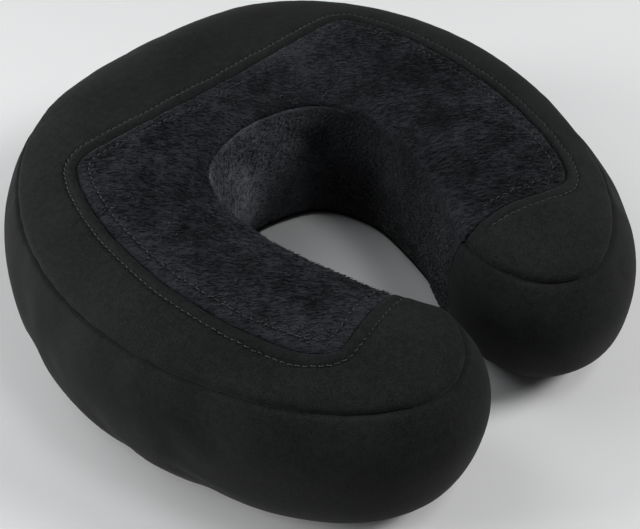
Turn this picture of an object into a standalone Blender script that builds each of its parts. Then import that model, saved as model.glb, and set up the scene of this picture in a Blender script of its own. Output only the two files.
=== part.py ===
"""Face cradle cushion: a two-layer foam core in a sewn cover that a rear zip opens.

Metres, +Z up. The floor is z = 0, the mouth between the arms opens towards -Y, and the cushion
is symmetric about x = 0 except at the arms' tips. Lists of millimetres are turned into metres
where they are read.
"""

import math

import bmesh
import bpy
import numpy as np
from mathutils import Vector
from mathutils.geometry import delaunay_2d_cdt

MM = 0.001

# Heights of the cushion.
BASE_Z = 1.8 * MM
SEAM_Z = 84.0 * MM
CROWN = 12.5 * MM
CROWN_REACH = 42.0 * MM
CROWN_POWER = 0.75

# The rear is an arc, so that the zip's slider can follow it.
REAR_RADIUS = 240.0 * MM
REAR_Y = 143.0 * MM
REAR_CENTRE_Y = REAR_Y - REAR_RADIUS
REAR_LIMIT_Y = REAR_CENTRE_Y + 0.8 * REAR_RADIUS


def rear_arc(x_mm):
    """Height along Y of the rear arc, in mm."""
    return REAR_CENTRE_Y / MM + math.sqrt((REAR_RADIUS / MM) ** 2 - x_mm ** 2)


# Right half of the top seam's outline, from the rear round the arm, the nose and the mouth to the
# rear of the face hole: x, y, how far the base stands out from the seam, how far the wall bulges.
OUTLINE_MM = [
    (0, rear_arc(0), 3, 8),
    (32, rear_arc(32), 3, 8),
    (62, rear_arc(62), 3, 8),
    (83, 124, 3, 9),
    (101, 109, 4, 10),
    (117.5, 87.5, 3, 11),
    (131.5, 59, 3, 11),
    (139, 27, 3, 11),
    (140, -5, 3, 11),
    (134.5, -39, 3, 13),
    (124, -69, 3, 15),
    (108, -100, 3, 16),
    (86, -125, 2, 16),
    (62, -139, -2, 17),
    (41.5, -140, -10, 19),
    (25.5, -130, -15, 20),
    (18, -113, -15, 16),
    (16.5, -99, -14, 12),
    (19, -87, -12, 9),
    (23, -77, -10, 7),
    (29.5, -65, -8, 6),
    (38, -48, -7, 5),
    (45.5, -24, -5, 4),
    (49, 0, -4, 4),
    (45, 22, -2, 4),
    (35, 36, -1, 4),
    (19, 44, 0, 4),
    (0, 47, 0, 4),
]
# Points of the left arm that differ, by their place in the list above. Its tip stands a little
# further from the middle than the right one's.
LEFT_ARM_MM = {
    9: (134.5, -39, 2, 12),
    10: (124, -69, 1, 13),
    11: (108, -100, 1, 14),
    12: (86, -125, 1, 15),
    13: (62, -139, -1, 15),
    14: (41.5, -140, -8, 17),
    15: (26.5, -130, -12, 17),
    16: (18.5, -113, -15, 13),
    17: (23, -99.5, -15, 7),
    18: (29.3, -87, -13, 5),
    19: (33, -78, -12, 4),
    20: (37, -66, -10, 4),
    21: (42, -49, -8, 4),
    22: (47, -25, -5, 4),
}
SAMPLES = 3
NOTCH_POINT = 18
NOTCH_TRIM = 0.2
WALL_POWER = 2.5

# Outer topstitching round the plush face panel, right half from the rear middle to the mouth. The
# panel's own edge runs inside it.
TOPSTITCH_MM = [(0, 79.5), (86, 79.5), (97, 73), (104.5, 57), (111, 30), (113, 3), (111.5, -29),
                (106.5, -54), (101, -74), (92.5, -93), (83.5, -103), (75, -106.5), (64, -104.5),
                (50, -99.5), (38, -96)]
FACE_CORNER = 7.0 * MM
TOPSTITCH_INSET = 6.0 * MM

# Cover and foam.
COVER = 2.2 * MM
GAP = 0.4 * MM
FOAM_INSET = 4.2 * MM
FOAM_BELOW_TOP = 3.8 * MM
FOAM_SPLIT_Z = 48.0 * MM
GRID = 13.0 * MM
NO_GRID = 1.0

# Zip in the rear of the side band.
ZIP_Z = 24.0 * MM
ZIP_HALF_ANGLE = 13.6
SLOT_HALF_WIDTH = 62.0 * MM
SLOT_HALF_HEIGHT = 5.2 * MM
TAPE_OFFSET = 2.7 * MM
TAPE_THICKNESS = 0.6 * MM
TAPE_HEIGHT = 14.0 * MM
TAPE_GAP = 0.5 * MM
TEETH_INNER = 2.1 * MM
TEETH_OUTER = 0.4 * MM
TOOTH_PITCH = 3.0 * MM
TOOTH_TIP = 0.45 * MM
TOOTH_ROOT = 1.3 * MM
TOOTH_BACK = 2.9 * MM
STOP_HALF_ANGLE = 0.16
ZIP_RECESS = 6.6 * MM
RECESS_LOW = 8.0 * MM
RECESS_HIGH = 40.0 * MM
RECESS_X = 76.0 * MM

# Slider and pull tab. The slider rests at the closed end of the zip, towards +X.
SLIDER_LENGTH = 11.0 * MM
SLIDER_HEIGHT = 9.0 * MM
SLIDER_PLATE = 1.3 * MM
SLIDER_FRONT = 0.4 * MM
SLIDER_BACK = 4.5 * MM
BACK_PLATE = 0.8 * MM
BACK_PLATE_HEIGHT = 7.2 * MM
WELD = 0.2 * MM
POST_WIDTH = 0.44 * MM
POST_LENGTH = 3.0 * MM
FLANGE = 0.9 * MM
FLANGE_DEPTH = 1.2 * MM
FLANGE_LENGTH = 10.0 * MM
SLIDER_ANGLE = 11.6
LUG_HEIGHT = 1.2 * MM
LUG_REACH = 3.6 * MM
LUG_LENGTH = 3.0 * MM
PIN_LIFT = 2.2 * MM
PIN_RADIUS = 0.6 * MM
PIN_LENGTH = 6.0 * MM
EYE_RADIUS = 1.05 * MM
BARREL_RADIUS = 1.7 * MM
BARREL_HEIGHT = 4.0 * MM
NECK_LENGTH = 6.0 * MM
NECK_HEIGHT = 3.2 * MM
TAB_START = 5.0 * MM
TAB_LENGTH = 20.0 * MM
TAB_WIDTH = 7.0 * MM
TAB_THICKNESS = 1.4 * MM
WINDOW_LENGTH = 8.0 * MM
WINDOW_HEIGHT = 3.0 * MM

# Loop strips under the base: centre x, centre y, length, turn about Z in degrees.
STRIP_WIDTH = 25.0 * MM
STRIP_THICKNESS = 1.4 * MM
STRIP_CORNER = 4.0 * MM
STRIPS = {
    "loop_strip_left": (-95.0, -15.0, 150.0, 90.0),
    "loop_strip_right": (95.0, -15.0, 150.0, 90.0),
    "loop_strip_rear": (0.0, 96.0, 120.0, 0.0),
}
LABEL_HEIGHT = 11.0 * MM
LABEL_THICKNESS = 0.5 * MM
LABEL_LIFT = 0.6 * MM
LABEL_STATIONS = [-9, -8, -7]

KNIT = (0.012, 0.013, 0.013)
PLUSH = (0.016, 0.016, 0.021)


def clear_scene():
    for obj in list(bpy.data.objects):
        bpy.data.objects.remove(obj, do_unlink=True)


def material(name, colour, roughness, metallic=0.0):
    mat = bpy.data.materials.get(name) or bpy.data.materials.new(name)
    mat.use_nodes = True
    shader = mat.node_tree.nodes["Principled BSDF"]
    shader.inputs["Base Color"].default_value = (*colour, 1.0)
    shader.inputs["Roughness"].default_value = roughness
    shader.inputs["Metallic"].default_value = metallic
    return mat


def solid(name, verts, faces, mat, smooth_angle=35.0):
    """Make one closed object from points and faces, with its faces turned outwards."""
    mesh = bpy.data.meshes.new(name)
    mesh.from_pydata([tuple(v) for v in verts], [], [tuple(f) for f in faces])
    bm = bmesh.new()
    bm.from_mesh(mesh)
    bmesh.ops.remove_doubles(bm, verts=bm.verts, dist=0.00001)
    bmesh.ops.triangulate(bm, faces=bm.faces)
    bmesh.ops.recalc_face_normals(bm, faces=bm.faces)
    bm.to_mesh(mesh)
    bm.free()
    mesh.shade_smooth()
    mesh.set_sharp_from_angle(angle=math.radians(smooth_angle))
    mesh.materials.append(mat)
    obj = bpy.data.objects.new(name, mesh)
    bpy.context.scene.collection.objects.link(obj)
    return obj


def smooth_loop(points, samples):
    """Catmull-Rom curve through a closed list of points, as an array."""
    pts = np.array(points, dtype=float)
    count = len(pts)
    out = []
    for i in range(count):
        a, b, c, d = (pts[(i + k) % count] for k in (-1, 0, 1, 2))
        for t in np.arange(samples) / samples:
            out.append(0.5 * (2 * b + (c - a) * t + (2 * a - 5 * b + 4 * c - d) * t * t
                              + (3 * b - a - 3 * c + d) * t ** 3))
    return np.array(out)


def outward(loop):
    """Unit normals of a loop that runs clockwise seen from above."""
    along = np.roll(loop, -1, 0) - np.roll(loop, 1, 0)
    side = np.stack([-along[:, 1], along[:, 0]], 1)
    return side / np.linalg.norm(side, axis=1)[:, None]


def whole_outline():
    """Both halves of the outline, the left one with its own points at the arm."""
    left = [LEFT_ARM_MM.get(i, point) for i, point in enumerate(OUTLINE_MM)]
    return OUTLINE_MM + [(-x, y, spread, bulge) for x, y, spread, bulge in left[-2:0:-1]]


LOOP = smooth_loop(whole_outline(), SAMPLES)
SEAM = LOOP[:, :2] * MM
NORMAL = outward(SEAM)
SPREAD = LOOP[:, 2] * MM
BULGE = LOOP[:, 3] * MM
NOTCH = NOTCH_POINT * SAMPLES
STATIONS = len(SEAM)


def profile(height):
    """Share of the base's spread and share of the bulge at a height."""
    t = (height - BASE_Z) / (SEAM_Z - BASE_Z)
    return 1 - t, 1 - abs(2 * t - 1) ** WALL_POWER


def wall(height, inset=0.0):
    """The cover's outer wall at one height, moved inwards by inset."""
    spread, bulge = profile(height)
    push = SPREAD * spread + BULGE * bulge - inset
    return SEAM + NORMAL * push[:, None]


def distance_to_loop(points, loop):
    """Distance of each point to a closed loop."""
    a = loop
    b = np.roll(loop, -1, 0)
    ab = b - a
    rel = points[:, None, :] - a[None]
    t = np.clip((rel * ab).sum(2) / np.maximum((ab ** 2).sum(1), 1e-15), 0, 1)
    return np.sqrt(((rel - t[..., None] * ab) ** 2).sum(2)).min(1)


def crown_height(points):
    """Height of the cover's domed top above each plan point."""
    d = np.minimum(distance_to_loop(points, SEAM), CROWN_REACH) / CROWN_REACH
    return SEAM_Z + CROWN * (1 - (1 - d) ** 2) ** CROWN_POWER


def rounded_path(points, radius, steps=3):
    """Replace the corners of an open path by short arcs."""
    pts = [Vector(p) for p in points]
    out = [pts[0]]
    for before, corner, after in zip(pts, pts[1:], pts[2:]):
        to_before = (before - corner)
        to_after = (after - corner)
        reach = min(radius, 0.4 * to_before.length, 0.4 * to_after.length)
        start = corner + to_before.normalized() * reach
        end = corner + to_after.normalized() * reach
        for k in range(steps + 1):
            t = k / steps
            out.append((1 - t) ** 2 * start + 2 * t * (1 - t) * corner + t * t * end)
    out.append(pts[-1])
    return np.array([tuple(p) for p in out])


def inside(points, loop):
    """Which points lie inside a closed loop."""
    a = loop
    b = np.roll(loop, -1, 0)
    x, y = points[:, 0][:, None], points[:, 1][:, None]
    crosses = (a[:, 1] > y) != (b[:, 1] > y)
    rise = np.where(b[:, 1] == a[:, 1], 1e-12, b[:, 1] - a[:, 1])
    at = (b[:, 0] - a[:, 0]) * (y - a[:, 1]) / rise + a[:, 0]
    return (crosses & (x < at)).sum(1) % 2 == 1


def filled(loop, spacing):
    """Triangles that fill a closed loop, with a grid of points inside it."""
    low, high = loop.min(0), loop.max(0)
    rows = []
    for j, y in enumerate(np.arange(low[1], high[1], spacing * 0.87)):
        shift = spacing / 2 if j % 2 else 0.0
        rows += [(x, y) for x in np.arange(low[0] + shift, high[0], spacing)]
    grid = np.array(rows)
    grid = grid[inside(grid, loop)]
    grid = grid[distance_to_loop(grid, loop) > spacing * 0.45]
    points = np.vstack([loop, grid])
    edges = [(i, (i + 1) % len(loop)) for i in range(len(loop))]
    result = delaunay_2d_cdt([Vector(p) for p in points], edges, [], 1, 1e-7)
    used = [ids[0] for ids in result[3]]
    return points, [[used[i] for i in face] for face in result[2]]


def dome_panel(name, loop, lower_loop, mat):
    """A domed sheet of cover fabric that fills a loop of the top."""
    points, faces = filled(loop, GRID)
    count = len(points)
    lower = points.copy()
    lower[:len(loop)] = lower_loop
    top = np.column_stack([points, crown_height(points)])
    bottom = np.column_stack([lower, crown_height(points) - COVER])
    verts = np.vstack([top, bottom])
    all_faces = faces + [[i + count for i in reversed(f)] for f in faces]
    n = len(loop)
    all_faces += [[i, (i + 1) % n, (i + 1) % n + count, i + count] for i in range(n)]
    return solid(name, verts, all_faces, mat)


def lofted(name, rings, top_points, top_faces, mat):
    """A body of closed rings with a flat bottom and a given top over the last ring."""
    n = len(rings[0])
    verts = np.vstack(rings)
    faces = []
    for r in range(len(rings) - 1):
        for i in range(n):
            j = (i + 1) % n
            faces.append([r * n + i, r * n + j, (r + 1) * n + j, (r + 1) * n + i])
    base_points, base_faces = filled(rings[0][:, :2], NO_GRID)
    faces += [list(reversed(f)) for f in base_faces]
    last = (len(rings) - 1) * n
    offset = len(verts) - n
    verts = np.vstack([verts, top_points[n:]])
    faces += [[last + i if i < n else offset + i for i in f] for f in top_faces]
    return solid(name, verts, faces, mat)


def thick_sheet(name, outer, inner, mat, keep=None):
    """A sheet between two grids of points, with every open edge closed."""
    rows, cols = outer.shape[:2]
    if keep is None:
        keep = np.ones((rows - 1, cols - 1), bool)
    count = rows * cols
    verts = np.vstack([outer.reshape(-1, 3), inner.reshape(-1, 3)])
    faces = []
    for r in range(rows - 1):
        for c in range(cols - 1):
            if not keep[r, c]:
                continue
            a, b = r * cols + c, r * cols + c + 1
            d, e = a + cols, b + cols
            faces += [[a, b, e, d], [d + count, e + count, b + count, a + count]]
            sides = {(r - 1, c): (a, b), (r + 1, c): (e, d), (r, c - 1): (d, a), (r, c + 1): (b, e)}
            for (rr, cc), (p, q) in sides.items():
                if not (0 <= rr < rows - 1 and 0 <= cc < cols - 1 and keep[rr, cc]):
                    faces.append([p, p + count, q + count, q])
    used = sorted({i for f in faces for i in f})
    new = {old: k for k, old in enumerate(used)}
    return solid(name, verts[used], [[new[i] for i in f] for f in faces], mat)


def box(name, centre, size, mat=None):
    """A block as an object, used alone or as part of a union."""
    bm = bmesh.new()
    bmesh.ops.create_cube(bm, size=1.0)
    bmesh.ops.scale(bm, vec=size, verts=bm.verts)
    bmesh.ops.translate(bm, vec=centre, verts=bm.verts)
    mesh = bpy.data.meshes.new(name)
    bm.to_mesh(mesh)
    bm.free()
    if mat:
        mesh.materials.append(mat)
    obj = bpy.data.objects.new(name, mesh)
    bpy.context.scene.collection.objects.link(obj)
    return obj


def rod(name, centre, radius, height, sides=12):
    """An upright rod as an object, used as part of a union or as a cutter."""
    bm = bmesh.new()
    bmesh.ops.create_cone(bm, cap_ends=True, segments=sides, radius1=radius, radius2=radius,
                          depth=height)
    bmesh.ops.translate(bm, vec=centre, verts=bm.verts)
    mesh = bpy.data.meshes.new(name)
    bm.to_mesh(mesh)
    bm.free()
    obj = bpy.data.objects.new(name, mesh)
    bpy.context.scene.collection.objects.link(obj)
    return obj


def boolean(target, tool, operation):
    """Join or cut with a helper object that the build leaves out."""
    tool.hide_render = True
    tool.display_type = "WIRE"
    modifier = target.modifiers.new(operation.lower() + "_" + tool.name, "BOOLEAN")
    modifier.operation = operation
    modifier.solver = "EXACT"
    modifier.object = tool


def join_ring(height, inset):
    """One wall ring as points in space."""
    return np.column_stack([wall(height, inset), np.full(STATIONS, height)])


def band_stations():
    """Stations of the knit side band, from the left notch round the outside to the right one."""
    return [i % STATIONS for i in range(-NOTCH, NOTCH + 1)]


def inner_stations():
    """Stations of the face hole's wall, from the right notch to the left one."""
    return list(range(NOTCH, STATIONS - NOTCH + 1))


def wall_sheet(name, stations, heights, mat, keep=None, trim=0.0):
    """A wall panel through the given stations and heights, a little short of its end stations."""
    def grid(inset):
        rows = []
        for z in heights:
            row = wall(z, inset)[stations]
            if trim:
                for end, inner in ((0, 1), (-1, -2)):
                    step = row[inner] - row[end]
                    row[end] = row[end] + step / np.linalg.norm(step) * trim
            rows.append(np.column_stack([row, np.full(len(row), z)]))
        return np.array(rows)
    return thick_sheet(name, grid(0.0), grid(COVER), mat, keep)


def make_walls(knit, plush):
    low = BASE_Z + COVER + GAP
    high = SEAM_Z - COVER - GAP
    slot_low = ZIP_Z - SLOT_HALF_HEIGHT
    slot_high = ZIP_Z + SLOT_HALF_HEIGHT
    heights = [low, slot_low, slot_high, 44 * MM, 59 * MM, 73 * MM, high]
    stations = band_stations()
    keep = np.ones((len(heights) - 1, len(stations) - 1), bool)
    middles = 0.5 * (SEAM[stations[1:], 0] + SEAM[stations[:-1], 0])
    at_rear = SEAM[stations[1:], 1] > REAR_LIMIT_Y
    keep[1, (np.abs(middles) < SLOT_HALF_WIDTH) & at_rear] = False
    wall_sheet("cover_side_band", stations, heights, knit, keep, trim=GAP)
    inner_heights = [low, 22 * MM, 44 * MM, 66 * MM, high]
    wall_sheet("cover_inner_wall", inner_stations(), inner_heights, plush, trim=GAP)


def moved_in(path, amount):
    """Move an open path to its left by an amount."""
    along = np.gradient(path, axis=0)
    along /= np.linalg.norm(along, axis=1)[:, None]
    return path + np.stack([-along[:, 1], along[:, 0]], 1) * amount


def face_edge():
    """The plush panel's outer edge, from the right notch round the back to the left notch."""
    half = [(x * MM, y * MM) for x, y in TOPSTITCH_MM]
    right = moved_in(rounded_path(half, FACE_CORNER)[::-1], TOPSTITCH_INSET)
    right[-1, 0] = 0.0
    left = right[:-1][::-1] * (-1, 1)
    return np.vstack([right, left])


def make_top(knit, plush):
    edge = face_edge()
    hole = SEAM[inner_stations()]
    hole_low = wall(SEAM_Z - COVER)[inner_stations()]
    # Face panel: inside its edge, round the face hole.
    face_loop = np.vstack([hole, moved_in(edge, GAP / 2)[::-1]])
    face_low = np.vstack([hole_low, moved_in(edge, GAP / 2)[::-1]])
    dome_panel("cover_face_panel", face_loop, face_low, plush)
    # Border: between the same edge and the outer seam, and round both noses.
    outer = SEAM[band_stations()]
    outer_low = wall(SEAM_Z - COVER)[band_stations()]
    outer[0] += (outer[1] - outer[0]) * NOTCH_TRIM
    outer[-1] += (outer[-2] - outer[-1]) * NOTCH_TRIM
    outer_low[0], outer_low[-1] = outer[0], outer[-1]
    border_edge = moved_in(edge, -GAP / 2)
    border_loop = np.vstack([outer, border_edge])
    dome_panel("cover_top_border", border_loop, np.vstack([outer_low, border_edge]), knit)


def make_base(knit):
    rings = [join_ring(BASE_Z, 0.0), join_ring(BASE_Z + COVER, 0.0)]
    points, faces = filled(rings[-1][:, :2], NO_GRID)
    top = np.column_stack([points, np.full(len(points), BASE_Z + COVER)])
    lofted("cover_base_panel", rings, top, faces, knit)


def foam_ring(height):
    """A ring of the foam, every other station, with a recess behind the zip."""
    ring = join_ring(height, FOAM_INSET)[::2]
    deep = join_ring(height, ZIP_RECESS)[::2]
    behind = (np.abs(ring[:, 0]) < RECESS_X) & (ring[:, 1] > REAR_LIMIT_Y)
    if RECESS_LOW <= height <= RECESS_HIGH:
        ring[behind] = deep[behind]
    return ring


def make_foam(base_foam, memory_foam):
    floor = BASE_Z + COVER + GAP
    heights = [floor, RECESS_LOW - 2 * MM, RECESS_LOW, RECESS_HIGH, RECESS_HIGH + 2 * MM]
    rings = [foam_ring(z) for z in heights] + [foam_ring(FOAM_SPLIT_Z)]
    points, faces = filled(rings[-1][:, :2], NO_GRID)
    top = np.column_stack([points, np.full(len(points), FOAM_SPLIT_Z)])
    lofted("foam_base_block", rings, top, faces, base_foam)
    shoulder = foam_ring(SEAM_Z - FOAM_BELOW_TOP)
    shoulder[:, 2] = crown_height(shoulder[:, :2]) - FOAM_BELOW_TOP
    rings = [foam_ring(FOAM_SPLIT_Z + GAP), foam_ring(65 * MM), shoulder]
    points, faces = filled(shoulder[:, :2], GRID)
    top = np.column_stack([points, crown_height(points) - FOAM_BELOW_TOP])
    lofted("memory_foam_topper", rings, top, faces, memory_foam)


def rear_radius(height):
    """Radius of the rear wall about the zip's arc centre at a height."""
    spread, bulge = profile(height)
    return REAR_RADIUS + SPREAD[0] * spread + BULGE[0] * bulge


ZIP_RADIUS = rear_radius(ZIP_Z)


def on_arc(radius, degrees, z):
    """A point at a radius and an angle from +Y towards +X about the zip's arc centre."""
    a = math.radians(degrees)
    return (radius * math.sin(a), REAR_CENTRE_Y + radius * math.cos(a), z)


def make_tape(name, heights, mat):
    angles = np.linspace(-ZIP_HALF_ANGLE - 1, ZIP_HALF_ANGLE + 1, 21)
    def grid(depth):
        return np.array([[on_arc(rear_radius(z) - depth, a, z) for a in angles] for z in heights])
    thick_sheet(name, grid(TAPE_OFFSET), grid(TAPE_OFFSET + TAPE_THICKNESS), mat)


def make_teeth(name, side, mat):
    """One row of zip teeth: side is 1 for the upper row and -1 for the lower row."""
    span = math.degrees(TOOTH_PITCH / ZIP_RADIUS)
    count = int(2 * (ZIP_HALF_ANGLE - 0.8) / span)
    start = -count * span / 2
    outer, inner = [], []
    for k in range(count * 4 + 1):
        tooth = (k % 4) in (1, 2)
        angle = start + span * ((k // 2) * 0.5 + (0.06 if k % 2 else 0.0))
        reach = TOOTH_TIP if tooth else TOOTH_ROOT
        column = [(ZIP_Z + side * reach), (ZIP_Z + side * TOOTH_BACK)]
        outer.append([on_arc(ZIP_RADIUS - TEETH_OUTER, angle, z) for z in column])
        inner.append([on_arc(ZIP_RADIUS - TEETH_INNER, angle, z) for z in column])
    swap = (1, 0, 2)
    thick_sheet(name, np.transpose(outer, swap), np.transpose(inner, swap), mat)


def make_stop(name, degrees, low, high, mat):
    """A small block at one end of the teeth, between two heights."""
    def grid(depth):
        return np.array([[on_arc(ZIP_RADIUS - depth, degrees + turn, z)
                          for turn in (-STOP_HALF_ANGLE, STOP_HALF_ANGLE)] for z in (low, high)])
    thick_sheet(name, grid(TEETH_OUTER), grid(TEETH_INNER), mat)


def make_end_stops(mat):
    """Two stops above each other at the closed end, and one that bridges the tapes at the open end."""
    end = ZIP_HALF_ANGLE - 2 * STOP_HALF_ANGLE
    make_stop("zip_top_stop_upper", end, ZIP_Z + TOOTH_TIP, ZIP_Z + TOOTH_BACK, mat)
    make_stop("zip_top_stop_lower", end, ZIP_Z - TOOTH_BACK, ZIP_Z - TOOTH_TIP, mat)
    make_stop("zip_bottom_stop", -end, ZIP_Z - TOOTH_BACK, ZIP_Z + TOOTH_BACK, mat)


def place_on_zip(obj, degrees):
    """Turn an object made at the top of the arc about the arc's centre."""
    obj.location = (0.0, REAR_CENTRE_Y, 0.0)
    obj.rotation_euler = (0.0, 0.0, -math.radians(degrees))


def make_slider(mat):
    """Slider body with front and back plates, a post between them, flanges, lugs and a pin."""
    r = ZIP_RADIUS
    front = r + SLIDER_FRONT + SLIDER_PLATE / 2
    back = r - SLIDER_BACK - BACK_PLATE / 2
    slider = box("zip_slider", (0, front, ZIP_Z), (SLIDER_LENGTH, SLIDER_PLATE, SLIDER_HEIGHT), mat)
    plate = box("slider_back_plate", (0, back, ZIP_Z), (SLIDER_LENGTH, BACK_PLATE, BACK_PLATE_HEIGHT))
    post = box("slider_post", (0, r + (SLIDER_FRONT - SLIDER_BACK) / 2, ZIP_Z),
               (POST_LENGTH, SLIDER_FRONT + SLIDER_BACK + 2 * WELD, POST_WIDTH))
    boolean(slider, post, "UNION")
    boolean(slider, plate, "UNION")
    for side in (-1, 1):
        z = ZIP_Z + side * (SLIDER_HEIGHT - FLANGE) / 2
        flange = box("slider_flange", (0, r + SLIDER_FRONT - FLANGE_DEPTH / 2 + WELD, z),
                     (FLANGE_LENGTH, FLANGE_DEPTH, FLANGE))
        boolean(slider, flange, "UNION")
        z = ZIP_Z + side * (BARREL_HEIGHT / 2 + GAP + LUG_HEIGHT / 2)
        top = r + SLIDER_FRONT + SLIDER_PLATE
        lug = box("slider_lug", (0, top + LUG_REACH / 2 - WELD, z), (LUG_LENGTH, LUG_REACH, LUG_HEIGHT))
        boolean(slider, lug, "UNION")
    pin = rod("slider_pin", (0, tab_axis_radius(), ZIP_Z), PIN_RADIUS, PIN_LENGTH)
    boolean(slider, pin, "UNION")
    for part in [slider] + [m.object for m in slider.modifiers]:
        place_on_zip(part, SLIDER_ANGLE)
    return slider


def tab_axis_radius():
    """Radius of the pull tab's hinge pin about the arc's centre."""
    return ZIP_RADIUS + SLIDER_FRONT + SLIDER_PLATE + PIN_LIFT


def make_pull_tab(mat):
    """Flat pull tab on a barrel that turns about the slider's upright pin. It lies towards -X."""
    y = tab_axis_radius()
    tab = rod("zip_pull_tab", (0, y, ZIP_Z), BARREL_RADIUS, BARREL_HEIGHT, sides=16)
    tab.data.materials.append(mat)
    neck = box("tab_neck", (-NECK_LENGTH / 2 - PIN_RADIUS * 2, y, ZIP_Z),
               (NECK_LENGTH, TAB_THICKNESS, NECK_HEIGHT))
    plate = box("tab_plate", (-TAB_START - TAB_LENGTH / 2, y, ZIP_Z), (TAB_LENGTH, TAB_THICKNESS, TAB_WIDTH))
    boolean(tab, neck, "UNION")
    boolean(tab, plate, "UNION")
    boolean(tab, rod("tab_eye", (0, y, ZIP_Z), EYE_RADIUS, TAB_WIDTH * 2, sides=16), "DIFFERENCE")
    window = box("tab_window", (-TAB_START - TAB_LENGTH + WINDOW_LENGTH, y, ZIP_Z),
                 (WINDOW_LENGTH, TAB_WIDTH, WINDOW_HEIGHT))
    boolean(tab, window, "DIFFERENCE")
    for part in [tab] + [m.object for m in tab.modifiers]:
        place_on_zip(part, SLIDER_ANGLE)
    return tab


def make_zip(tape, teeth, metal):
    slot = SLOT_HALF_HEIGHT
    make_tape("zip_tape_upper", [ZIP_Z + TAPE_GAP, ZIP_Z + slot, ZIP_Z + TAPE_HEIGHT], tape)
    make_tape("zip_tape_lower", [ZIP_Z - TAPE_HEIGHT, ZIP_Z - slot, ZIP_Z - TAPE_GAP], tape)
    make_teeth("zip_teeth_upper", 1, teeth)
    make_teeth("zip_teeth_lower", -1, teeth)
    make_end_stops(metal)
    make_slider(metal)
    make_pull_tab(metal)


def make_strips(mat):
    for name, (x, y, length, turn) in STRIPS.items():
        bm = bmesh.new()
        bmesh.ops.create_cube(bm, size=1.0)
        bmesh.ops.scale(bm, vec=(length * MM, STRIP_WIDTH, STRIP_THICKNESS), verts=bm.verts)
        upright = [e for e in bm.edges if abs(e.verts[0].co.z - e.verts[1].co.z) > STRIP_THICKNESS / 2]
        bmesh.ops.bevel(bm, geom=upright, offset=STRIP_CORNER, segments=3, profile=0.5, affect="EDGES")
        mesh = bpy.data.meshes.new(name)
        bm.to_mesh(mesh)
        bm.free()
        mesh.materials.append(mat)
        obj = bpy.data.objects.new(name, mesh)
        obj.location = (x * MM, y * MM, STRIP_THICKNESS / 2)
        obj.rotation_euler = (0, 0, math.radians(turn))
        bpy.context.scene.collection.objects.link(obj)


def make_label(mat):
    """Blank care label that stands out of the lower seam and lies on the band."""
    low = BASE_Z + COVER
    heights = [low, low + LABEL_HEIGHT / 2, low + LABEL_HEIGHT]
    def grid(lift):
        rows = [wall(z, -lift)[LABEL_STATIONS] for z in heights]
        return np.array([np.column_stack([row, np.full(len(row), z)]) for row, z in zip(rows, heights)])
    thick_sheet("care_label", grid(LABEL_LIFT + LABEL_THICKNESS), grid(LABEL_LIFT), mat)


def main():
    clear_scene()
    knit = material("knit", KNIT, 0.85)
    plush = material("plush", PLUSH, 0.95)
    base_foam = material("base_foam", (0.55, 0.55, 0.5), 0.9)
    memory_foam = material("memory_foam", (0.75, 0.7, 0.55), 0.9)
    loop_tape = material("loop_tape", (0.01, 0.01, 0.011), 0.95)
    zip_tape = material("zip_tape", (0.01, 0.01, 0.011), 0.85)
    zip_teeth = material("zip_teeth", (0.012, 0.012, 0.013), 0.45)
    zip_metal = material("zip_metal", (0.05, 0.05, 0.055), 0.4, 0.9)
    label = material("label", (0.6, 0.6, 0.58), 0.8)
    make_walls(knit, plush)
    make_top(knit, plush)
    make_base(knit)
    make_foam(base_foam, memory_foam)
    make_zip(zip_tape, zip_teeth, zip_metal)
    make_strips(loop_tape)
    make_label(label)


main()
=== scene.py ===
import math

import bpy
import numpy as np
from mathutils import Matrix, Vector
from mathutils.bvhtree import BVHTree
from mathutils.geometry import delaunay_2d_cdt
from mathutils.interpolate import poly_3d_calc


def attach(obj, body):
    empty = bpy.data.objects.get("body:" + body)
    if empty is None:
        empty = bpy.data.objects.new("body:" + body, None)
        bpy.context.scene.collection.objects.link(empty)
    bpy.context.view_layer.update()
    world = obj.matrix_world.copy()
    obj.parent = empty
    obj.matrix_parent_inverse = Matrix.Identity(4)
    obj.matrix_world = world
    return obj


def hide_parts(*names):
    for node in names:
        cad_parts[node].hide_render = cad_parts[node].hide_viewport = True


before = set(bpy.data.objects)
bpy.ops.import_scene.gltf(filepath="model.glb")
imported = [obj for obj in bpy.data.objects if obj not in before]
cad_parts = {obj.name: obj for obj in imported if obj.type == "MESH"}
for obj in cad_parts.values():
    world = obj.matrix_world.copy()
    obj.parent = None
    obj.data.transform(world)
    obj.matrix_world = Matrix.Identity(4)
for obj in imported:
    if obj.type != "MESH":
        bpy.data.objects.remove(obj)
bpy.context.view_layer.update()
mm = 0.001
body = "cushion"
rng = np.random.default_rng(7)
print("frame loaded:", len(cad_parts), "CAD nodes")

# Shape of the cushion, as the CAD source has it. The mouth between the arms opens towards -Y.
form = {
    "baseZ": 1.8 * mm,
    "seamZ": 84 * mm,
    "crown": 12.5 * mm,
    "crownReach": 42 * mm,
    "crownPower": 0.75,
    "wallPower": 2.5,
    "rearRadius": 240 * mm,
    "rearCentreY": -97 * mm,
    "samples": 12,          # stations between two outline points
    "notchPoint": 18,       # outline point where knit and plush walls meet
}


def rearArc(x):
    return form["rearCentreY"] / mm + math.sqrt((form["rearRadius"] / mm) ** 2 - x ** 2)


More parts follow.
